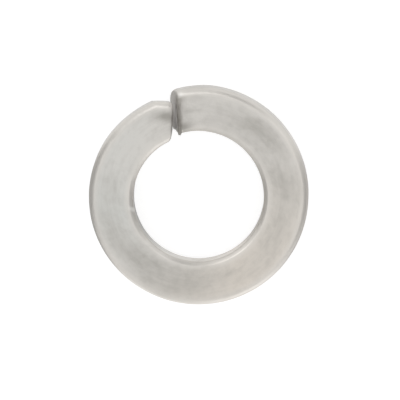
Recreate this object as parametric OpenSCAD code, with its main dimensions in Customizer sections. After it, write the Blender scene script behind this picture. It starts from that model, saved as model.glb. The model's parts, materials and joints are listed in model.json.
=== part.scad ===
// Spring lock washer, split ring of rounded flat steel wire.
// The bore axis is Z, the origin is the centre of the bore and the split faces -Y.
// The wire starts at the low end, left of the split seen from -Y, and climbs once round the axis
// to the high end, right of the split: a left-hand helix, for a right-hand screw.

/* [Wire section] */
// Diameter of the bore, which passes the screw
bore_d = 10.5; // [6:0.1:16]
// Radial width of the wire
wire_w = 3.6; // [2.4:0.1:6]
// Axial thickness of the wire
wire_t = 2.2; // [1.4:0.1:4]
// Rounding of the two outer edges of the wire
outer_edge_r = 0.55; // [0.1:0.05:0.65]
// Rounding of the two inner edges of the wire
inner_edge_r = 0.4; // [0.1:0.05:0.65]

/* [Spring form] */
// Axial distance that the high end stands above the low end
end_rise = 2.2; // [0:0.1:5]
// Distance between the two ends, along the middle of the wire
split_w = 0.15; // [0.1:0.05:3]

/* [Cut faces] */
// Lean of the cut faces away from the bore axis
cut_lean = 15; // [0:1:30]
// Turn of the low end's cut away from a radial line
low_cut_skew = 13; // [0:1:25]
// Turn of the high end's cut away from a radial line
high_cut_skew = 19; // [0:1:25]
// Rounding that tumbling left round the edge of each cut face
cut_edge_r = 0.1; // [0.02:0.02:0.2]

/* [Low end] */
// Rounding of the outer corner, where the cutter entered
low_corner_r = 0.45; // [0.1:0.05:1]
// Length along the wire over which the upper face sags towards the cut
low_sag_len = 0.65; // [0.2:0.05:2]
// Depth of that sag at the cut, at the bore
low_sag_in = 0.12; // [0:0.01:0.3]
// Depth of that sag at the cut, at the outer side
low_sag_out = 0.03; // [0:0.01:0.3]
// Length along the wire of the notch that the cut tore out of the inner corner
low_notch_len = 0.35; // [0.1:0.05:0.8]
// Depth of that notch at the cut
low_notch_depth = 0.3; // [0.05:0.05:0.5]
// Length along the wire over which the outer side draws in
low_draw_len = 3; // [1:0.1:6]
// Depth by which the outer side has drawn in at the cut
low_draw_depth = 0.15; // [0:0.01:0.4]

/* [High end] */
// Rounding of the upper edge, where the cutter pressed in
high_roll_r = 0.35; // [0.1:0.05:0.6]
// Rounding of the inner corner
high_corner_r = 0.55; // [0.1:0.05:1]
// Length along the wire over which the outer side draws in before its flat
high_draw_len = 5.5; // [1:0.1:8]
// Depth by which the outer side has drawn in where its flat starts
high_draw_depth = 0.15; // [0:0.01:0.4]
// Length along the wire of the flat that the cutter rolled on the outer side
flat_len = 1.25; // [0.6:0.05:2]
// Depth of that flat at the cut
flat_depth = 0.55; // [0.1:0.05:0.9]

/* [Hidden] */

bore_r = bore_d / 2;
outer_r = bore_r + wire_w;
mid_r = bore_r + wire_w / 2;
// the wire is swept this much past its bore and rim, and then trimmed to true cylinders
trim = 0.02;
// facets of one full turn, of each rounded edge and of each end's corners
turn_steps = 72;
edge_steps = 4;
corner_steps = 6;
cylinder_fn = 96;
// height of the two trimming cylinders, which reach well past the wire
trim_h = 2 * (wire_t + end_rise);

// what rounds or lowers an end's upper face leaves room for the wire's own rounded edges
roll_room = wire_t - 2 * max(outer_edge_r, inner_edge_r) - cut_edge_r;
sag_room = roll_room - cut_edge_r;
high_roll = min(high_roll_r, roll_room);
sag_in = min(low_sag_in, sag_room);
sag_out = min(low_sag_out, sag_room);

split_deg = arc_deg(split_w);
turn_deg = 360 - split_deg;
// the sweep starts at the low end and runs clockwise, seen from above
start_deg = -90 - split_deg / 2;

// angle of an arc of this length along the middle of the wire, and the other way round
function arc_deg(len) = len / mid_r * 180 / PI;
function arc_len(deg) = deg * PI / 180 * mid_r;
function blend(a, b, share) = a + (b - a) * share;
// runs smoothly from 0 to 1
function ease(x) = let (c = min(max(x, 0), 1)) c * c * (3 - 2 * c);
// how far a rounding of radius r cuts in at this distance from the end
function corner_cut(r, dist) = dist >= r ? 0 : r - sqrt(r * r - (r - dist) * (r - dist));
// how deep a scooped notch is at this distance from the end
function notch_cut(depth, len, dist) = dist >= len ? 0 : depth * sqrt(1 - (dist / len) * (dist / len));

// how far the outer side is drawn in at these distances from the low and the high cut
function draw_in(to_low, to_high) = low_draw_depth * ease(1 - to_low / low_draw_len)
    + high_draw_depth * ease(1 - (to_high - flat_len) / high_draw_len)
    + flat_depth * max(0, 1 - to_high / flat_len);

// sweep angles: close together round the corners of the two ends, even along the rest
corner_shares = [for (k = [0 : corner_steps]) 1 - cos(90 * k / corner_steps)];
ring_from = arc_deg(max(low_corner_r, low_sag_len, low_notch_len));
ring_to = turn_deg - arc_deg(flat_len);
high_corner_deg = arc_deg(min(high_corner_r, flat_len / 2));
stations = [
    for (k = [0 : corner_steps]) ring_from * corner_shares[k],
    for (k = [1 : turn_steps]) blend(ring_from, ring_to, k / turn_steps),
    for (k = [corner_steps : -1 : 0]) turn_deg - high_corner_deg * corner_shares[k]
];

// outline of the wire at one station, as [radius, height above the wire's middle], from its inner and
// outer radius, the height of its upper face at both, and the height of its foot
function edge_arc(r_at, z_at, r, from) =
    [for (k = [0 : edge_steps])
        let (a = from + 90 * k / edge_steps) [r_at + r * cos(a), z_at + r * sin(a)]];
function outline(r_in, r_out, z_in, z_out, foot_z) = [
    each edge_arc(r_out - outer_edge_r, z_out - outer_edge_r, outer_edge_r, 0),
    each edge_arc(r_in + inner_edge_r, z_in - inner_edge_r, inner_edge_r, 90),
    each edge_arc(r_in + inner_edge_r, foot_z + inner_edge_r, inner_edge_r, 180),
    each edge_arc(r_out - outer_edge_r, foot_z + outer_edge_r, outer_edge_r, 270)
];

// one point of a station: every station lies in a plane that leans and skews as the cuts do
function station_point(at, skew, p) =
    let (
        slope = tan(skew),
        offset = p[1] * tan(cut_lean) - mid_r * slope,
        reach = sqrt(p[0] * p[0] * (1 + slope * slope) - offset * offset),
        radial = (reach - offset * slope) / (1 + slope * slope),
        along = radial * slope + offset,
        a = start_deg - at
    ) [
        radial * cos(a) + along * sin(a),
        radial * sin(a) - along * cos(a),
        p[1] + end_rise * (at / turn_deg - 0.5)
    ];

function station(at) =
    let (
        to_low = arc_len(at),
        to_high = arc_len(turn_deg - at),
        edge_cut = corner_cut(cut_edge_r, min(to_low, to_high)),
        top_cut = max(edge_cut, corner_cut(high_roll, to_high)),
        notch = notch_cut(low_notch_depth, low_notch_len, to_low),
        side_cut = corner_cut(low_corner_r, to_low) + draw_in(to_low, to_high),
        r_in = bore_r - trim + edge_cut + corner_cut(high_corner_r, to_high) + notch,
        r_out = outer_r + trim - edge_cut - side_cut,
        sag = pow(max(0, 1 - to_low / low_sag_len), 2),
        z_in = wire_t / 2 - top_cut - sag_in * sag,
        z_out = wire_t / 2 - top_cut - sag_out * sag,
        foot_z = edge_cut - wire_t / 2,
        skew = blend(low_cut_skew, high_cut_skew, at / turn_deg)
    ) [for (p = outline(r_in, r_out, z_in, z_out, foot_z)) station_point(at, skew, p)];

// the wire as swept, a little wider than its trimmed size
module swept_wire() {
    rings = [for (at = stations) station(at)];
    ring_size = len(rings[0]);
    last = len(rings) - 1;
    points = [for (ring = rings) each ring];
    sides = [
        for (i = [0 : last - 1], j = [0 : ring_size - 1])
            let (next = (j + 1) % ring_size, here = i * ring_size, ahead = here + ring_size)
                [here + j, ahead + j, ahead + next, here + next]
    ];
    low_face = [for (j = [0 : ring_size - 1]) j];
    high_face = [for (j = [ring_size - 1 : -1 : 0]) last * ring_size + j];
    polyhedron(points, [low_face, each sides, high_face]);
}

module washer() {
    color("silver")
        difference() {
            intersection() {
                swept_wire();
                cylinder(h = trim_h, r = outer_r, center = true, $fn = cylinder_fn);
            }
            cylinder(h = trim_h, r = bore_r, center = true, $fn = cylinder_fn);
        }
}

washer();
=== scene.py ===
"""Spring lock washer: one split ring of plated spring steel, its surface and its studio."""

import json
import math

import bpy
import numpy as np
from mathutils import Matrix, Vector, noise


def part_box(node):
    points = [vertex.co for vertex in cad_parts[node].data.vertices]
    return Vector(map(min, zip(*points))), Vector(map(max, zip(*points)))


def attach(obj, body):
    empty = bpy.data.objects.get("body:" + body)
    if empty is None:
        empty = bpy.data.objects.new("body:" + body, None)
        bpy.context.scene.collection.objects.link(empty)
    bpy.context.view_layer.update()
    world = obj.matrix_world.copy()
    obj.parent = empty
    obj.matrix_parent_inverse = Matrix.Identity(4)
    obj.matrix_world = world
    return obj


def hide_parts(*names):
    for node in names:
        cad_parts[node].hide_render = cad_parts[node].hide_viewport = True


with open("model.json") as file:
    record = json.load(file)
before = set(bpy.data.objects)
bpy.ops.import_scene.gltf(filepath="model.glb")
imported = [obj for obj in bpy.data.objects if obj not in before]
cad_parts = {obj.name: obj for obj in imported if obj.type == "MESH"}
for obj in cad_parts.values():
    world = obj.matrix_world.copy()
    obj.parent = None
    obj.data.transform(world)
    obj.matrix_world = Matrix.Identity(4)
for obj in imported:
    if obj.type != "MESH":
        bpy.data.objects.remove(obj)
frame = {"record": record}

bl_info = {
    "name": "Spring lock washer",
    "version": (1, 0, 0),
    "blender": (4, 5, 0),
    "location": "View3D > Sidebar > Lock washer",
    "description": "Builds a spring lock washer of plated steel wire and a plain studio for it",
    "category": "Add Mesh",
}

# the frame's sizes, in metres
MM = 0.001
LOW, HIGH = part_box("washer")
BORE = next(m for m in frame["record"]["mounts"] if m["name"] == "bore")
BORE_RADIUS = BORE["dims"]["r_mm"] * MM
RIM_RADIUS = (HIGH.x - LOW.x) / 2


def linear(code):
    """A colour written as sRGB hex, as linear red, green and blue."""
    def channel(pair):
        c = int(pair, 16) / 255
        return c / 12.92 if c <= 0.04045 else ((c + 0.055) / 1.055) ** 2.4
    return tuple(channel(code[i:i + 2]) for i in (0, 2, 4))


def length(name, description, default):
    """A length of the washer that a user may change."""
    return bpy.props.FloatProperty(name=name, description=description, default=default,
                                   min=0, precision=5, subtype="DISTANCE", unit="LENGTH")


def angle(name, description, degrees):
    """An angle of the washer or the studio that a user may change."""
    return bpy.props.FloatProperty(name=name, description=description,
                                   default=math.radians(degrees), subtype="ANGLE", unit="ROTATION")


def colour(name, description, code):
    """A colour that a user may change."""
    return bpy.props.FloatVectorProperty(name=name, description=description, default=linear(code),
                                         size=3, min=0, max=1, subtype="COLOR")


def share(name, description, default):
    """A share from 0 to 1 that a user may change."""
    return bpy.props.FloatProperty(name=name, description=description, default=default,
                                   min=0, max=1, subtype="FACTOR")


# ---------------------------------------------------------------- what a user would change

class WireSizes(bpy.types.PropertyGroup):
    """The section of the wire and the turn that it makes."""

    bore_radius: length("Bore radius", "Radius of the bore, which passes the screw", BORE_RADIUS)
    rim_radius: length("Rim radius", "Radius of the outer side", RIM_RADIUS)
    thickness: length("Thickness", "Axial thickness of the wire", 2.2 * MM)
    outer_edge: length("Outer edge", "Rounding of the two outer edges", 0.55 * MM)
    inner_edge: length("Inner edge", "Rounding of the two inner edges", 0.4 * MM)
    end_rise: length("End rise", "Height of the high end above the low end", 2.2 * MM)
    split: length("Split", "Distance between the two ends at the middle of the wire", 0.15 * MM)


class CutSizes(bpy.types.PropertyGroup):
    """What the cutter left at the two ends."""

    lean: angle("Lean", "Lean of the cut faces away from the bore axis", 15)
    low_skew: angle("Low skew", "Turn of the low end's cut away from a radial line", 13)
    high_skew: angle("High skew", "Turn of the high end's cut away from a radial line", 19)
    rim: length("Cut rim", "Rounding that tumbling left round each cut face", 0.1 * MM)
    low_corner: length("Low corner", "Rounding of the low end's outer corner", 0.45 * MM)
    sag_len: length("Sag length", "Length over which the low end's upper face sags", 0.65 * MM)
    sag_in: length("Sag, bore side", "Depth of that sag at the cut, at the bore", 0.12 * MM)
    sag_out: length("Sag, outer side", "Depth of that sag at the cut, at the rim", 0.03 * MM)
    notch_len: length("Notch length", "Length of the notch torn out of the low end's inner corner", 0.35 * MM)
    notch: length("Notch depth", "Depth of that notch at the cut", 0.3 * MM)
    low_draw_len: length("Low draw length", "Length over which the outer side draws in", 3.0 * MM)
    low_draw: length("Low draw", "Depth by which the outer side has drawn in", 0.15 * MM)
    high_roll: length("High roll", "Rounding of the high end's upper edge", 0.35 * MM)
    high_corner: length("High corner", "Rounding of the high end's inner corner", 0.55 * MM)
    high_draw_len: length("High draw length", "Length over which the outer side draws in", 5.5 * MM)
    high_draw: length("High draw", "Depth by which the outer side has drawn in", 0.15 * MM)
    flat_len: length("Flat length", "Length of the flat rolled on the outer side", 1.25 * MM)
    flat: length("Flat depth", "Depth of that flat at the cut", 0.55 * MM)
    lip: length("Lip height", "Height of the lip that the cutter raised beside the flat", 0.032 * MM)
    crown: length("Crown", "Fall of the two faces towards the bore, left by coiling", 0.12 * MM)
    dome: length("Dome", "Fall of the upper face at the low end's outer corner", 0.1 * MM)
    burr: length("Burr", "Length of the burr at the low end's inner corner", 0.57 * MM)


class PlatingLook(bpy.types.PropertyGroup):
    """Colours and gloss of the plated steel, and the colours that paint shade and a highlight on it."""

    zinc: colour("Zinc", "Colour of the plating", "D0CDC8")
    warm: colour("Warm film", "Colour of the plating where its passive film is thick", "D5CEC5")
    cool: colour("Cool film", "Colour of the plating where its passive film is thin", "CDCDC9")
    # this colour also paints the shade of three patches beside the split
    dull_and_shade: colour("Dull zinc", "Colour where tumbling dulled the plating", "A29F99")
    burnished: colour("Burnished zinc", "Colour of the plating where tumbling rubbed the edges", "D6D2CC")
    # this colour also paints the highlight on the low end's outer shoulder
    bright_spot_and_highlight: colour("Bare zinc", "Colour where a knock rubbed the plating bright", "F2F0EC")
    # this colour also paints shade: on the low end's cut face and round the low cut, under the high end
    cut_steel_and_shade: colour("Sheared steel", "Colour of the thinly plated cut faces", "6C6763")
    roughness: share("Roughness", "Roughness of the tumbled plating", 0.35)
    wear: length("Unevenness", "Depth of the shallow dents that tumbling left", 0.006 * MM)


class StudioLook(bpy.types.PropertyGroup):
    """Floor, light and camera."""

    floor: colour("Floor", "Colour of the pale floor under its glow", "B8B8B8")
    glow: share("Floor glow", "Share of full white that the floor adds to what the eye sees", 0.7)
    sky: share("Sky", "Strength of the white all round as light on the floor", 0.9)
    card: colour("Card", "Colour of the low grey cards at the sides", "C4C4C4")
    light_card: colour("Light card", "Colour of the tall pale cards behind them", "F4F4F4")
    turn: angle("Turn", "Turn of the washer as the camera sees it", 197.5)
    lean: angle("Lean", "Lean of the view away from straight down, towards the split", 10.3)
    sideways: angle("Sideways lean", "Lean of the view to one side", 2.1)


# ---------------------------------------------------------------- shape of the ring
# all lengths here are in millimetres

RING_STEPS = 560            # stations along the plain part of the wire
CORNER_STEPS = 16           # stations round the corners of each end
FLAT_STEPS = 20             # stations along the rolled flat
LOW_ROOM = 1.2              # the low end's fine stations span this many times its corner or its sag
FLAT_ROOM = 1.3             # and the high end's span this many times its rolled flat
ARC_STEPS = 9               # facets of each rounded edge
FACE_STEPS = 26             # facets across each bearing face
WALL_STEPS = 12             # facets up each side
CAP_LOOPS = 12              # loops from the rim of a cut face to its middle

BURR_PEAK = 0.18            # from the low cut to the burr's tip
BURR_REACH = (0.25, 0.36)   # how far it runs out, towards the cut and away from it
BURR_TAPER = 1.5            # how sharply it runs out: more than 1 makes it hollow-sided
BURR_SHARES = (0.5, 0.8)    # shares of the wire's height between which it grows to its full length
BURR_ROOT = 0.7             # depth of metal, from the bore, that it is drawn out of
BURR_DARK = 0.9             # how dark its torn steel is
CROWN_WIDTH = 1.2           # width of the face that falls away towards the bore
LIP_RIDGES = (              # distance from the outer side, half width, and share of the lip's height
    (0.72, 0.2, 1.0),
    (0.95, 0.3, 0.9),
)
LIP_END = (0.3, 1.6)        # from the high cut to where the lip starts to sink, and the length it takes
TOP_DEPTH = 0.3             # depth below the upper face at which its lip and dome have died out
DOME_REACH = 0.9            # distance from the low end's outer corner at which the dome has died out
DENTS = (                   # size, share of the depth, and seed of the dents that tumbling left
    (2.6, 0.6, 3.1),
    (1.1, 1.0, 7.7),
    (0.45, 0.45, 11.3),
)
RUBBED = (0.25, 0.65)       # distance from an edge that the barrel rubbed full, and over which it fades

LOW_CUT = (0.7, 1.0)        # how dark the low end's cut face is at its sheared and at its torn edge, most of it painted shade under the high end
HIGH_CUT = (0.1, 0.6)       # the same for the high end
RIM_DARK = (0.5, 0.35)      # how dark the rims round the low and the high cut are made; round the low cut partly painted shade
LOW_REACH = 0.12            # how far that darkening runs back from the low cut
CORNER_REACH = 0.12         # how much further it runs at the low end's outer corner
CORNER_SPAN = (0.9, 0.4)    # distance from the outer side to where that corner's darkening starts, and its blend
HIGH_REACH = 0.5            # how far the darkening runs back from the high cut
TORN_GRAIN = (              # size, depth, and seed of the torn grain of the cut faces
    (0.35, 0.03, 5.5),
    (0.12, 0.012, 9.1),
)
GRAIN_RAMP = 0.5            # share of the way from a cut face's rim to its middle line, where it is full
SHADE_TOWARDS_BORE = (0.6, 2.4)    # painted shade on the cut faces: share of full darkness at the outer side, and how far in it is full
SMALL_TURN = 0.001          # radians between the two places that give a cut face its outward direction

# soft spots of the upper face, most where tumbling dulled it and three painted shade beside the split: share
# of the way round and across, half length, half width, slant across for each millimetre along, and strength;
# one below 0 is brighter instead
DULL_PATCHES_AND_SHADE = (
    (0.132, 0.50, 3.3, 1.1, 0.0, 0.45),
    (0.32, 0.40, 4.5, 1.2, 0.0, 0.42),
    (0.45, 0.45, 4.5, 1.1, 0.0, 0.15),
    (0.60, 0.50, 3.7, 1.4, 0.0, 0.84),
    (0.78, 0.55, 3.5, 1.2, 0.0, 0.25),
    # painted shade on the inward slope of the lip near the high cut
    (0.989, 0.545, 0.90, 0.40, -0.33, 1.1),
    (0.90, 0.50, 3.5, 1.0, 0.0, -0.18),
    # these two are painted shade beside the low cut, under the high end that stands over it
    (0.018, 0.46, 0.6, 0.25, 0.2, 0.22),
    (0.012, 0.12, 1.0, 0.5, 0.0, 1.00),
)
# the same for two bright spots: a small one at the bore's edge, and a painted highlight on the low end's
# outer shoulder
BRIGHT_SPOTS = (
    (0.783, 0.02, 0.24, 0.24, 0.0, 1.3),
    # painted highlight on the low end's outer shoulder
    (0.008, 0.87, 0.20, 0.20, 0.0, 0.7),
)
BRIGHT_SHARES = (0.65, 0.9)     # shares of the wire's height between which they grow to full


def ease(x):
    """Runs smoothly from 0 to 1."""
    c = np.clip(x, 0, 1)
    return c * c * (3 - 2 * c)


def corner_cut(r, dist):
    """How far a rounding of radius r cuts in at this distance from the end."""
    near = np.clip(r - dist, 0, r)
    return r - np.sqrt(r * r - near * near)


class Ring:
    """The wire's centre line, section and cuts."""

    def __init__(self, wire, cut):
        mm = {k: getattr(wire, k) / MM for k in WireSizes.__annotations__}
        mm.update({k: getattr(cut, k) / MM for k in CutSizes.__annotations__})
        self.size = mm
        self.lean_slope = math.tan(cut.lean)
        self.low_skew, self.high_skew = cut.low_skew, cut.high_skew
        self.mid_r = (mm["bore_radius"] + mm["rim_radius"]) / 2
        self.turn = 2 * math.pi - mm["split"] / self.mid_r
        self.start = -math.pi / 2 - mm["split"] / self.mid_r / 2

    def stations(self):
        """Turn angles of the sections, close together near the two ends."""
        mm = self.size
        shares = 1 - np.cos(np.linspace(0, math.pi / 2, CORNER_STEPS + 1))
        low = LOW_ROOM * max(mm["low_corner"], mm["sag_len"]) / self.mid_r
        corner = mm["high_corner"] / self.mid_r
        flat = FLAT_ROOM * mm["flat_len"] / self.mid_r
        return np.concatenate([
            low * shares,
            np.linspace(low, self.turn - flat, RING_STEPS)[1:],
            np.linspace(self.turn - flat, self.turn - corner, FLAT_STEPS)[1:-1],
            self.turn - corner * shares[::-1],
        ])

    def to_cuts(self, at):
        """Distance of each station from the low and from the high cut."""
        return np.stack([at * self.mid_r, (self.turn - at) * self.mid_r])

    def outline(self, at):
        """Section points (radius, height) of every station, as an array of stations by points."""
        mm = self.size
        low, high = self.to_cuts(at)
        rim = corner_cut(mm["rim"], np.minimum(low, high))
        draw = (mm["low_draw"] * ease(1 - low / mm["low_draw_len"])
                + mm["high_draw"] * ease(1 - (high - mm["flat_len"]) / mm["high_draw_len"])
                + mm["flat"] * np.clip(1 - high / mm["flat_len"], 0, 1))
        outer = mm["rim_radius"] - rim - corner_cut(mm["low_corner"], low) - draw
        notch = mm["notch"] * np.sqrt(np.clip(1 - (low / mm["notch_len"]) ** 2, 0, 1))
        inner = mm["bore_radius"] + rim + corner_cut(mm["high_corner"], high) + notch
        top_cut = np.maximum(rim, corner_cut(mm["high_roll"], high))
        sag = np.clip(1 - low / mm["sag_len"], 0, 1) ** 2
        z_in = mm["thickness"] / 2 - top_cut - mm["sag_in"] * sag
        z_out = mm["thickness"] / 2 - top_cut - mm["sag_out"] * sag
        foot_z = rim - mm["thickness"] / 2
        r_out, r_in = mm["outer_edge"], mm["inner_edge"]
        # the four rounded edges (centre, radius, first angle) and the facets from each to the next
        corners = [(outer - r_out, z_out - r_out, r_out, 0), (inner + r_in, z_in - r_in, r_in, 90),
                   (inner + r_in, foot_z + r_in, r_in, 180), (outer - r_out, foot_z + r_out, r_out, 270)]
        sides = [FACE_STEPS, WALL_STEPS, FACE_STEPS, WALL_STEPS]
        arcs = []
        for r_at, z_at, r, first in corners:
            a = np.radians(first + np.linspace(0, 90, ARC_STEPS + 1))
            arcs.append(np.stack([r_at[:, None] + r * np.cos(a), z_at[:, None] + r * np.sin(a)], -1))
        parts = []
        for k, arc in enumerate(arcs):
            parts.append(arc)
            t = np.linspace(0, 1, sides[k] + 1)[1:-1, None]
            a, b = arc[:, -1:, :], arcs[(k + 1) % 4][:, :1, :]
            parts.append(a + (b - a) * t)
        return np.concatenate(parts, 1)

    def place(self, at, rz):
        """Section points in space: each section lies in a plane that leans and skews as the cuts do."""
        at = at[:, None]
        slope = np.tan(self.low_skew + (self.high_skew - self.low_skew) * at / self.turn)
        offset = rz[..., 1] * self.lean_slope - self.mid_r * slope
        reach = np.sqrt(rz[..., 0] ** 2 * (1 + slope ** 2) - offset ** 2)
        radial = (reach - offset * slope) / (1 + slope ** 2)
        along = radial * slope + offset
        a = self.start - at
        rise = self.size["end_rise"] * (at / self.turn - 0.5)
        return np.stack([radial * np.cos(a) + along * np.sin(a),
                         radial * np.sin(a) - along * np.cos(a), rz[..., 1] + rise], -1)

    def unroll(self, at, rz):
        """Section points in the straightened wire: along it, across it and up."""
        along = np.broadcast_to((at * self.mid_r)[:, None], rz.shape[:2])
        return np.stack([along, rz[..., 0] - self.mid_r, rz[..., 1]], -1)


def normals_of(grid):
    """Outward normals of a grid of points that is closed the second way."""
    along = np.gradient(grid, axis=0)
    round_it = np.roll(grid, -1, 1) - np.roll(grid, 1, 1)
    n = np.cross(round_it, along)
    return n / np.linalg.norm(n, axis=-1, keepdims=True)


def noise_at(points, layers):
    """Smooth noises of about -1 to 1 added up, each given by the size of its lumps, strength and seed."""
    total = np.zeros(points.shape[:-1])
    for size, strength, seed in layers:
        flat = points.reshape(-1, 3) / size + seed
        total += strength * np.array([noise.noise(p) for p in flat]).reshape(total.shape)
    return total


def relief(ring, at, rz, points, depth):
    """Height to add along the normal: what the cutter and the tumbling barrel left."""
    mm = ring.size
    low, high = ring.to_cuts(at)[..., None]
    r, z = rz[..., 0], rz[..., 1]
    to_top = z.max(1, keepdims=True) - z
    to_foot = z - z.min(1, keepdims=True)
    inset = rz[:, :1, 0] - r
    top = ease(1 - to_top / TOP_DEPTH)
    # the lip beside the rolled flat stands highest at the cut and dies out along the wire
    ridges = sum(part * np.exp(-((inset - middle) / half) ** 2) for middle, half, part in LIP_RIDGES)
    start, fade = LIP_END
    lip = mm["lip"] * ridges * top * ease(1 - (high - start) / fade)
    # coiling made the faces fall away towards the bore
    face = ease(1 - np.minimum(to_top, to_foot) / mm["inner_edge"])
    crown = mm["crown"] * np.clip(1 - (r - mm["bore_radius"]) / CROWN_WIDTH, 0, 1) ** 2 * face
    # tumbling rounded the low end's outer corner over, and the top there with it
    to_corner = np.hypot(low, inset - mm["outer_edge"])
    dome = mm["dome"] * ease(1 - to_corner / DOME_REACH) * top
    return lip - crown - dome + depth * noise_at(points, DENTS)


def burnish(ring, rz):
    """How much the barrel has rubbed each point: full on the rounded edges, none in mid-face."""
    to_side = np.minimum(rz[:, :1, 0] - rz[..., 0], rz[..., 0] - ring.size["bore_radius"])
    to_face = np.minimum(rz[..., 1].max(1, keepdims=True) - rz[..., 1],
                         rz[..., 1] - rz[..., 1].min(1, keepdims=True))
    full, fade = RUBBED
    return ease(1 - (np.maximum(to_side, to_face) - full) / fade)


def spotted(ring, at, rz, spots):
    """How far each point of the upper face lies within soft spots, from a list of them."""
    wide = ring.size["rim_radius"] - ring.size["bore_radius"]
    across = rz[..., 0] - ring.size["bore_radius"]
    total = 0 * across
    for along_share, across_share, half_length, half_width, slant, strength in spots:
        along = (at / ring.turn - along_share)[:, None] * ring.turn * ring.mid_r
        aside = across - across_share * wide - slant * along
        total = total + strength * np.exp(-(along / half_length) ** 2 - (aside / half_width) ** 2)
    return total


def darkened_cut_rims(ring, at, rz):
    """How dark each point is made a little way back over the rims of the two cuts; round the low cut this is
    partly painted shade under the high end, which stands over it.
    """
    low, high = ring.to_cuts(at)[..., None]
    inset, blend = CORNER_SPAN
    outward = ease((rz[..., 0] - rz[:, :1, 0] + inset) / blend)
    at_low = ease((LOW_REACH + CORNER_REACH * outward - low) / LOW_REACH)
    low_dark, high_dark = RIM_DARK
    return low_dark * at_low + high_dark * ease(1 - high / HIGH_REACH)


def height_share(ring, rz):
    """Each point's height as a share of the wire's thickness."""
    return np.clip(rz[..., 1] / ring.size["thickness"] + 0.5, 0, 1)


def between(x, ends):
    """How far x has come from the first end to the second, from 0 to 1."""
    start, full = ends
    return np.clip((x - start) / (full - start), 0, 1)


def draw_out_burr(ring, at, rz):
    """Draws the inner side out to a point at the top of the low end, and says how much at each point."""
    low, _ = ring.to_cuts(at)[..., None]
    inner = ease((ring.size["bore_radius"] + BURR_ROOT - rz[..., 0]) / BURR_ROOT)
    reach = np.where(low < BURR_PEAK, *BURR_REACH)
    near_tip = np.clip(1 - np.abs(low - BURR_PEAK) / reach, 0, 1) ** BURR_TAPER
    burr = near_tip * inner * between(height_share(ring, rz), BURR_SHARES)
    rz[..., 0] -= ring.size["burr"] * burr
    return burr


def ring_mesh(wire, cut, look):
    """The whole ring as one closed mesh: its points, its faces, and each point's finish and painted shade and
    highlight.
    """
    ring = Ring(wire, cut)
    at = ring.stations()
    rz = ring.outline(at)
    burr = draw_out_burr(ring, at, rz)
    points = ring.place(at, rz)
    points = points + normals_of(points) * relief(ring, at, rz, points, look.wear / MM)[..., None]
    n, m = points.shape[:2]
    dulled_and_shaded = spotted(ring, at, rz, DULL_PATCHES_AND_SHADE)
    bright = spotted(ring, at, rz, BRIGHT_SPOTS) * ease(between(height_share(ring, rz), BRIGHT_SHARES))
    # each point's finish, with painted shade in some dull patches and round the cuts, and a painted highlight
    # in one bright spot
    finish_and_painted_light = {
        "unrolled": [ring.unroll(at, rz).reshape(-1, 3)],
        "burnished": [(burnish(ring, rz) * (1 - np.clip(dulled_and_shaded, 0, 1))).ravel()],
        "dulled_and_shaded": [dulled_and_shaded.ravel()],
        "bright": [bright.ravel()],
        # darkness of the cut rims, partly painted shade, and of the burr's torn steel
        "cut_steel_and_shade": [(darkened_cut_rims(ring, at, rz) + BURR_DARK * burr).ravel()],
    }
    verts = [points.reshape(-1, 3)]
    i, j = np.meshgrid(np.arange(n - 1), np.arange(m), indexing="ij")
    nxt = (j + 1) % m
    faces = [np.stack([i * m + j, i * m + nxt, (i + 1) * m + nxt, (i + 1) * m + j], -1).reshape(-1, 4)]
    count = n * m
    for end, way in ((0, -1), (n - 1, 1)):
        loops, quads, unrolled, cut_steel_and_shade = cut_face(ring, at[end], rz[end], end * m, count, way)
        verts.append(loops)
        faces.append(quads)
        finish_and_painted_light["unrolled"].append(unrolled)
        finish_and_painted_light["cut_steel_and_shade"].append(cut_steel_and_shade)
        for name in ("burnished", "dulled_and_shaded", "bright"):
            finish_and_painted_light[name].append(np.zeros(len(loops)))
        count += len(loops)
    finish_and_painted_light = {name: np.concatenate(parts) for name, parts in finish_and_painted_light.items()}
    return np.concatenate(verts), np.concatenate(faces), finish_and_painted_light


def cut_face(ring, at, rim, first, count, way):
    """Loops of one cut face, from its rim in to its middle line, the quads between them, where each
    point lies in the unrolled wire, and how dark it is: the blade slid over one edge and left it
    bright, and the metal tore to the other; painted shade darkens it towards the bore, and darkens the
    low end's face most, under the high end. way is -1 at the low cut and 1 at the high cut; first and
    count number the rim's first point and the first new one."""
    m = len(rim)
    half = np.ptp(rim[:, 1]) / 2
    centre = rim[:, 1].mean()
    middle = np.stack([np.clip(rim[:, 0], rim[:, 0].min() + half, rim[:, 0].max() - half),
                       np.full(m, centre)], -1)
    sheared_dark, torn_dark = LOW_CUT if way < 0 else HIGH_CUT
    outer_share, inward_width = SHADE_TOWARDS_BORE
    loops, quads, unrolled, dark = [], [], [], []
    before = first + np.arange(m)
    for k in range(1, CAP_LOOPS + 1):
        f = 1 - k / CAP_LOOPS
        rz = middle + (rim - middle) * f
        flat = ring.place(np.array([at]), rz[None])[0]
        out = (ring.place(np.array([at + SMALL_TURN]), rz[None])[0] - flat) / (SMALL_TURN * ring.mid_r)
        torn = np.clip(0.5 + (centre - rz[:, 1]) * way / (2 * half), 0, 1)
        inward = ease((rim[:, 0].max() - rz[:, 0]) / inward_width)
        depth = torn * ease((1 - f) / GRAIN_RAMP) * noise_at(flat, TORN_GRAIN)
        loops.append(flat + out * depth[:, None])
        unrolled.append(ring.unroll(np.array([at]), rz[None])[0])
        # painted shade: the share of darkness rises towards the bore
        dark.append((sheared_dark + (torn_dark - sheared_dark) * torn)
                    * (outer_share + (1 - outer_share) * inward))
        now = count + (k - 1) * m + np.arange(m)
        quad = np.stack([before, np.roll(before, -1), np.roll(now, -1), now], -1)
        quads.append(quad if way > 0 else quad[:, ::-1])
        before = now
    return [np.concatenate(part) for part in (loops, quads, unrolled, dark)]


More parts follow.
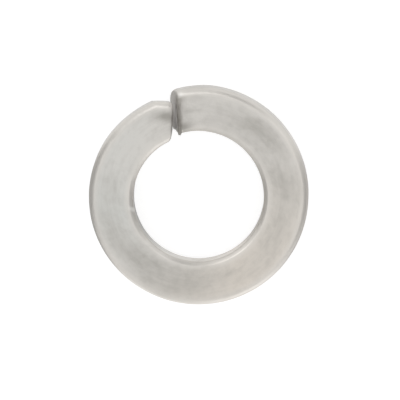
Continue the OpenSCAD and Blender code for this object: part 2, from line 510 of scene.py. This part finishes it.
def fit_in_box(points):
    """Brings the few points, in metres, that stand proud of the frame's box back to it."""
    return np.clip(points, np.array(LOW), np.array(HIGH))


# ---------------------------------------------------------------- the plated steel

MIX_A, MIX_B, MIX_RESULT = 6, 7, 2      # a Mix node's colour sockets, whose names other sockets share


def add(tree, kind, links=(), **settings):
    """Adds one node with its settings; links are (input, output socket) pairs."""
    node = tree.nodes.new(kind)
    for name, value in settings.items():
        setattr(node, name, value)
    for name, source in links:
        target = node.inputs[name]
        if isinstance(source, bpy.types.NodeSocket):
            tree.links.new(source, target)
        else:
            target.default_value = source
    return node


PATTERNS = {            # length along the wire and width across it in mm, and detail
    "patch": (3.6, 1.7, 2.5),       # blotches of the dull patches
    "film": (11.0, 5.0, 1.0),       # slow drift of the passive film
    "drawing": (14.0, 0.2, 3.0),    # lines that the drawing die left, drawn coarse enough to show
    "grain": (0.22, 0.22, 2.0),     # peened grain, drawn coarse enough to show
    "marks": (0.5, 0.4, 2.0),       # small dull marks of the barrel
}
PATTERN_SHIFT = (7.3, 2.9, 1.7)     # each pattern lies this far from the one before, in its own lumps
FILM_DRIFT = 0.08                   # share of the way round by which the film's tints wander
EFFECTS = {             # a pattern, the part of its range that counts, and what the effect runs from and to
    "blotch": ("patch", (0.25, 0.6), (0.45, 1.0)),      # how full each dull patch and each patch of painted shade is
    "speck": ("patch", (0.5, 0.75), (0.0, 0.22)),       # dulling outside the patches
    "line": ("drawing", (0.45, 0.75), (0.0, 0.1)),      # dulling in the drawn lines
    "mark": ("marks", (0.4, 0.7), (0.0, 0.16)),         # dulling in the barrel's marks
    "rubbing": ("patch", (0.3, 0.65), (1.0, 0.6)),      # how well the edges are rubbed
    "drift": ("film", (0.3, 0.7), (0.0, FILM_DRIFT)),
    "satin": ("patch", (0.3, 0.7), (-0.03, 0.05)),      # what is added to the roughness
}
FILM = (                # share of the way round, and the tint that the passive film has there
    (0.2, "zinc"),
    (0.46, "warm"),
    (0.64, "zinc"),
    (0.8, "cool"),
)
TORN_ROUGHNESS = 0.15   # how much rougher the cut steel is than the plating
BUMPS = (("drawing", 0.4), ("grain", 0.6))    # pattern and strength of what is too shallow for the mesh
BUMP_DEPTH = 0.02 * MM


def tumbled_zinc_on_steel(look, wire_length):
    """Thin zinc on drawn spring wire, tumbled in a barrel: a satin pale grey metal whose edges are rubbed
    brighter, with soft duller patches in mid-face, faint lines along the wire, a passive film that
    drifts from neutral to warm, and darker, rougher cut faces. Painted shade darkens some patches and the
    cut faces beside the split, and one bright spot is a painted highlight."""
    material = bpy.data.materials.new("tumbled_zinc_on_spring_steel")
    material.use_nodes = True
    tree = material.node_tree
    tree.nodes.clear()
    unrolled = add(tree, "ShaderNodeAttribute", attribute_name="unrolled").outputs["Vector"]
    burnished, dulled_and_shaded, bright, cut_steel_and_shade = (
        add(tree, "ShaderNodeAttribute", attribute_name=name).outputs["Fac"]
        for name in ("burnished", "dulled_and_shaded", "bright", "cut_steel_and_shade"))
    pattern = {}
    for seed, (name, (long, wide, detail)) in enumerate(PATTERNS.items()):
        at = add(tree, "ShaderNodeMapping", [("Vector", unrolled),
                                             ("Location", [seed * step for step in PATTERN_SHIFT]),
                                             ("Scale", (1 / long, 1 / wide, 1 / wide))])
        pattern[name] = add(tree, "ShaderNodeTexNoise", [("Vector", at.outputs["Vector"]), ("Scale", 1.0),
                                                         ("Detail", detail)]).outputs["Fac"]
    effect = {}
    for name, (source, (low, high), (first, last)) in EFFECTS.items():
        effect[name] = add(tree, "ShaderNodeMapRange", [("Value", pattern[source]), ("From Min", low),
                                                        ("From Max", high), ("To Min", first),
                                                        ("To Max", last)]).outputs["Result"]

    # dull where the patches lie and painted shade in three of them beside the split, in blotches, and a
    # little dull in specks, drawn lines and marks
    dull_and_shade = add(tree, "ShaderNodeMath", [(0, dulled_and_shaded), (1, effect["blotch"])], operation="MULTIPLY")
    for name in ("speck", "line", "mark"):
        dull_and_shade = add(tree, "ShaderNodeMath", [(0, dull_and_shade.outputs[0]), (1, effect[name])], operation="ADD")
    dull_and_shade = add(tree, "ShaderNodeClamp", [("Value", dull_and_shade.outputs[0])]).outputs["Result"]
    # rubbed bright along the edges, more in some places than in others
    rubbed = add(tree, "ShaderNodeMath", [(0, burnished), (1, effect["rubbing"])],
                 operation="MULTIPLY").outputs[0]
    # the passive film is warmest nearly half way round and coolest three quarters round
    along = add(tree, "ShaderNodeSeparateXYZ", [("Vector", unrolled)]).outputs["X"]
    way_round = add(tree, "ShaderNodeMapRange", [("Value", along), ("From Max", wire_length),
                                                 ("To Min", -FILM_DRIFT / 2),
                                                 ("To Max", 1 - FILM_DRIFT / 2)])
    tinted = add(tree, "ShaderNodeMath", [(0, way_round.outputs["Result"]), (1, effect["drift"])],
                 operation="ADD")
    film = add(tree, "ShaderNodeValToRGB", [("Fac", tinted.outputs[0])])
    stops = film.color_ramp.elements
    stops[0].color = stops[1].color = (*look.zinc, 1)
    for place, tint in FILM:
        stops.new(place).color = (*getattr(look, tint), 1)
    surface = film.outputs["Color"]
    # laid over the film: dull and painted shade, rubbed edges, bright spots with one painted highlight, cut
    # steel with painted shade
    for amount, tint in ((dull_and_shade, look.dull_and_shade), (rubbed, look.burnished), (bright, look.bright_spot_and_highlight),
                         (cut_steel_and_shade, look.cut_steel_and_shade)):
        surface = add(tree, "ShaderNodeMix", [("Factor", amount), (MIX_A, surface), (MIX_B, (*tint, 1))],
                      data_type="RGBA").outputs[MIX_RESULT]
    satin = add(tree, "ShaderNodeMath", [(0, effect["satin"]), (1, look.roughness)], operation="ADD")
    rough = add(tree, "ShaderNodeMath", [(0, cut_steel_and_shade), (1, TORN_ROUGHNESS), (2, satin.outputs[0])],
                operation="MULTIPLY_ADD")
    normal = []
    for name, strength in BUMPS:
        bump = add(tree, "ShaderNodeBump", [("Strength", strength), ("Distance", BUMP_DEPTH),
                                            ("Height", pattern[name]), *normal])
        normal = [("Normal", bump.outputs["Normal"])]
    shader = add(tree, "ShaderNodeBsdfPrincipled", [("Base Color", surface), ("Metallic", 1.0),
                                                    ("Roughness", rough.outputs[0]), *normal])
    add(tree, "ShaderNodeOutputMaterial", [("Surface", shader.outputs["BSDF"])])
    return material


# ---------------------------------------------------------------- the studio

FLOOR_WIDTH = 3.0         # metres
CAMERA_DISTANCE = 0.35    # metres: far enough that the ring is seen almost without perspective
LENS = 389.4              # millimetres
SHIFT = (0.0026, -0.0111)    # how far the picture is slid, in picture widths
SOFT_BOX = 0.28           # metres across each soft lamp
LAMP_DISTANCE = 0.5       # metres
LAMPS = {                 # bearing and height seen from the washer, in degrees, and radiance
    "soft_far_left": (122, 55, 0.7),
    "soft_far_right": (30, 52, 0.35),
    "soft_near": (290, 14, 0.5),
}
CARDS = {                 # bearing and height in degrees, distance, width and height in metres
    "low_card_left": (180, 2, 0.20, 0.20, 0.07),
    "low_card_right": (355, 2, 0.20, 0.11, 0.07),
    "tall_card_left": (185, 32, 0.30, 0.24, 0.24),
    "tall_card_right": (350, 32, 0.30, 0.24, 0.24),
    "tall_card_far": (70, 38, 0.30, 0.12, 0.22),
}
CARD_ROUGHNESS = 0.9
FRONT_GLOW = (-28, -60, 1.0)    # bearings, in degrees, between which the floor's glow rises from the
BACK_GLOW = (8, 30, 0.8)        # sides towards the front and the back, and the share it reaches
SIDE_GLOW = (0.12, 0.33)        # share of the glow to the left of the washer, and under it and right
LEFT_EDGE = (-1.1, -1.0)        # where the one changes to the other, in rim radii from the middle


def seen_by_eye(tree):
    """1 for what the eye sees straight, in a reflection or through glass, and 0 for light."""
    path = add(tree, "ShaderNodeLightPath").outputs
    seen = path["Is Camera Ray"]
    for other in ("Is Glossy Ray", "Is Transmission Ray"):
        seen = add(tree, "ShaderNodeMath", [(0, seen), (1, path[other])], operation="MAXIMUM").outputs[0]
    return seen


def matt_card(name, tint):
    """Matt card or paper: no gloss to the eye, one even tint."""
    material = bpy.data.materials.new(name)
    material.use_nodes = True
    shader = material.node_tree.nodes["Principled BSDF"]
    shader.inputs["Base Color"].default_value = (*tint, 1)
    shader.inputs["Roughness"].default_value = CARD_ROUGHNESS
    return material


def lit_paper(look):
    """White paper on a light table: it looks white and keeps a shadow. In metal that stands on it, it
    glows to the front, less to the back and least to the sides."""
    material = matt_card("lit_white_paper", look.floor)
    tree = material.node_tree
    on_floor = add(tree, "ShaderNodeTexCoord").outputs["Object"]
    where = add(tree, "ShaderNodeSeparateXYZ", [("Vector", on_floor)]).outputs
    aside = add(tree, "ShaderNodeMath", [(0, where["X"])], operation="ABSOLUTE")
    bearing = add(tree, "ShaderNodeMath", [(0, where["Y"]), (1, aside.outputs[0])], operation="ARCTAN2")
    left, right = SIDE_GLOW
    starts, ends = LEFT_EDGE
    at_side = add(tree, "ShaderNodeMapRange", [("Value", where["X"]), ("From Min", starts * RIM_RADIUS),
                                               ("From Max", ends * RIM_RADIUS), ("To Min", left),
                                               ("To Max", right)]).outputs["Result"]
    lit = add(tree, "ShaderNodeLightPath").outputs["Is Camera Ray"]
    for starts, ends, reached in (FRONT_GLOW, BACK_GLOW):
        side = add(tree, "ShaderNodeMapRange",
                   [("Value", bearing.outputs[0]), ("From Min", math.radians(starts)),
                    ("From Max", math.radians(ends)), ("To Min", at_side), ("To Max", reached)],
                   interpolation_type="SMOOTHSTEP")
        lit = add(tree, "ShaderNodeMath", [(0, lit), (1, side.outputs["Result"])],
                  operation="MAXIMUM").outputs[0]
    seen = add(tree, "ShaderNodeMath", [(0, seen_by_eye(tree)), (1, lit)], operation="MULTIPLY")
    glow = add(tree, "ShaderNodeMath", [(0, seen.outputs[0]), (1, look.glow)], operation="MULTIPLY")
    shader = tree.nodes["Principled BSDF"]
    shader.inputs["Emission Color"].default_value = (1, 1, 1, 1)
    tree.links.new(glow.outputs[0], shader.inputs["Emission Strength"])
    return material


def white_world(look):
    """White all round: full white to the eye and in reflections, a little less as light."""
    world = bpy.data.worlds.new("white_studio")
    world.use_nodes = True
    tree = world.node_tree
    tree.nodes.clear()
    strength = add(tree, "ShaderNodeMapRange", [("Value", seen_by_eye(tree)), ("To Min", look.sky),
                                                ("To Max", 1.0)])
    back = add(tree, "ShaderNodeBackground", [("Color", (1, 1, 1, 1)),
                                              ("Strength", strength.outputs["Result"])])
    add(tree, "ShaderNodeOutputWorld", [("Surface", back.outputs["Background"])])
    bpy.context.scene.world = world


def sheet(name, width, height, material):
    """A flat sheet facing +Z."""
    mesh = bpy.data.meshes.new(name)
    w, h = width / 2, height / 2
    mesh.from_pydata([(-w, -h, 0), (w, -h, 0), (w, h, 0), (-w, h, 0)], [], [(0, 1, 2, 3)])
    mesh.materials.append(material)
    obj = bpy.data.objects.new(name, mesh)
    bpy.context.scene.collection.objects.link(obj)
    return obj


def aim(obj, bearing, height, distance, axis, view):
    """Puts obj at a bearing round the view and a height above the floor, facing the washer."""
    across = Vector((view.col[0].x, view.col[0].y, 0)).normalized()
    away = Vector((-across.y, across.x, 0))
    b, h = math.radians(bearing), math.radians(height)
    to_it = (across * math.cos(b) + away * math.sin(b)) * math.cos(h) + Vector((0, 0, math.sin(h)))
    obj.location = to_it * distance
    obj.rotation_euler = (-to_it).to_track_quat(axis, "Y").to_euler()


class BuildRing(bpy.types.Operator):
    """Build the washer: the split ring of tumbled, plated wire"""

    bl_idname = "lock_washer.ring"
    bl_label = "Washer"

    def execute(self, context):
        scene = context.scene
        points, quads, finish_and_painted_light = ring_mesh(scene.lock_washer_wire, scene.lock_washer_cut,
                                          scene.lock_washer_plating)
        mesh = bpy.data.meshes.new("split_ring")
        mesh.from_pydata(fit_in_box(points * MM).tolist(), [], quads.tolist())
        for name, values in finish_and_painted_light.items():
            kind, field = ("FLOAT_VECTOR", "vector") if values.ndim > 1 else ("FLOAT", "value")
            held = mesh.attributes.new(name, kind, "POINT")
            held.data.foreach_set(field, values.astype(np.float32).ravel())
        mesh.shade_smooth()
        obj = bpy.data.objects.new("split_ring", mesh)
        scene.collection.objects.link(obj)
        wire_length = finish_and_painted_light["unrolled"][:, 0].max()
        mesh.materials.append(tumbled_zinc_on_steel(scene.lock_washer_plating, wire_length))
        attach(obj, "root")
        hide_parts("washer")
        return {"FINISHED"}


class BuildStage(bpy.types.Operator):
    """Build the studio: pale floor, soft light and camera"""

    bl_idname = "lock_washer.stage"
    bl_label = "Studio"

    def execute(self, context):
        scene = context.scene
        look = scene.lock_washer_studio
        view = (Matrix.Rotation(-look.turn, 3, "Z") @ Matrix.Rotation(-look.lean, 3, "X")
                @ Matrix.Rotation(look.sideways, 3, "Y"))
        camera = bpy.data.objects.new("camera", bpy.data.cameras.new("camera"))
        camera.data.lens = LENS
        camera.data.shift_x, camera.data.shift_y = SHIFT
        camera.data.clip_start = CAMERA_DISTANCE / 10
        camera.matrix_world = Matrix.Translation(view.col[2] * CAMERA_DISTANCE) @ view.to_4x4()
        scene.collection.objects.link(camera)
        scene.camera = camera
        floor = sheet("floor", FLOOR_WIDTH, FLOOR_WIDTH, lit_paper(look))
        floor.location.z = LOW.z
        floor.rotation_euler.z = -look.turn
        tints = {"low": matt_card("grey_card", look.card), "tall": matt_card("pale_card", look.light_card)}
        for name, (bearing, height, distance, wide, tall) in CARDS.items():
            card = sheet(name, wide, tall, tints[name.split("_")[0]])
            aim(card, bearing, height, distance, "Z", view)
            # the cards only show as darker sides in the metal's reflections
            for ray in ("camera", "diffuse", "transmission", "shadow"):
                setattr(card, "visible_" + ray, False)
        for name, (bearing, height, radiance) in LAMPS.items():
            lamp = bpy.data.lights.new(name, "AREA")
            lamp.shape = "DISK"
            lamp.size = SOFT_BOX
            lamp.energy = radiance * (math.pi * SOFT_BOX / 2) ** 2
            obj = bpy.data.objects.new(name, lamp)
            obj.visible_camera = False
            aim(obj, bearing, height, LAMP_DISTANCE, "-Z", view)
            scene.collection.objects.link(obj)
        white_world(look)
        scene.view_settings.view_transform = "Standard"
        return {"FINISHED"}


class WasherPanel(bpy.types.Panel):
    """Lists what can be built"""

    bl_idname = "VIEW3D_PT_lock_washer"
    bl_label = "Spring lock washer"
    bl_space_type = "VIEW_3D"
    bl_region_type = "UI"
    bl_category = "Lock washer"

    def draw(self, context):
        layout = self.layout
        for name in SETTINGS:
            box = layout.box()
            group = getattr(context.scene, name)
            for key in group.__annotations__:
                box.prop(group, key)
        for operator in (BuildRing, BuildStage):
            layout.operator(operator.bl_idname)


SETTINGS = {
    "lock_washer_wire": WireSizes,
    "lock_washer_cut": CutSizes,
    "lock_washer_plating": PlatingLook,
    "lock_washer_studio": StudioLook,
}


def register():
    for cls in (*SETTINGS.values(), BuildRing, BuildStage, WasherPanel):
        bpy.utils.register_class(cls)
    for name, cls in SETTINGS.items():
        setattr(bpy.types.Scene, name, bpy.props.PointerProperty(type=cls))


def unregister():
    for name in SETTINGS:
        delattr(bpy.types.Scene, name)
    for cls in reversed((*SETTINGS.values(), BuildRing, BuildStage, WasherPanel)):
        bpy.utils.unregister_class(cls)


def main():
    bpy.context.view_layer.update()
    register()
    bpy.ops.lock_washer.ring()
    bpy.ops.lock_washer.stage()


if __name__ == "__main__":
    main()
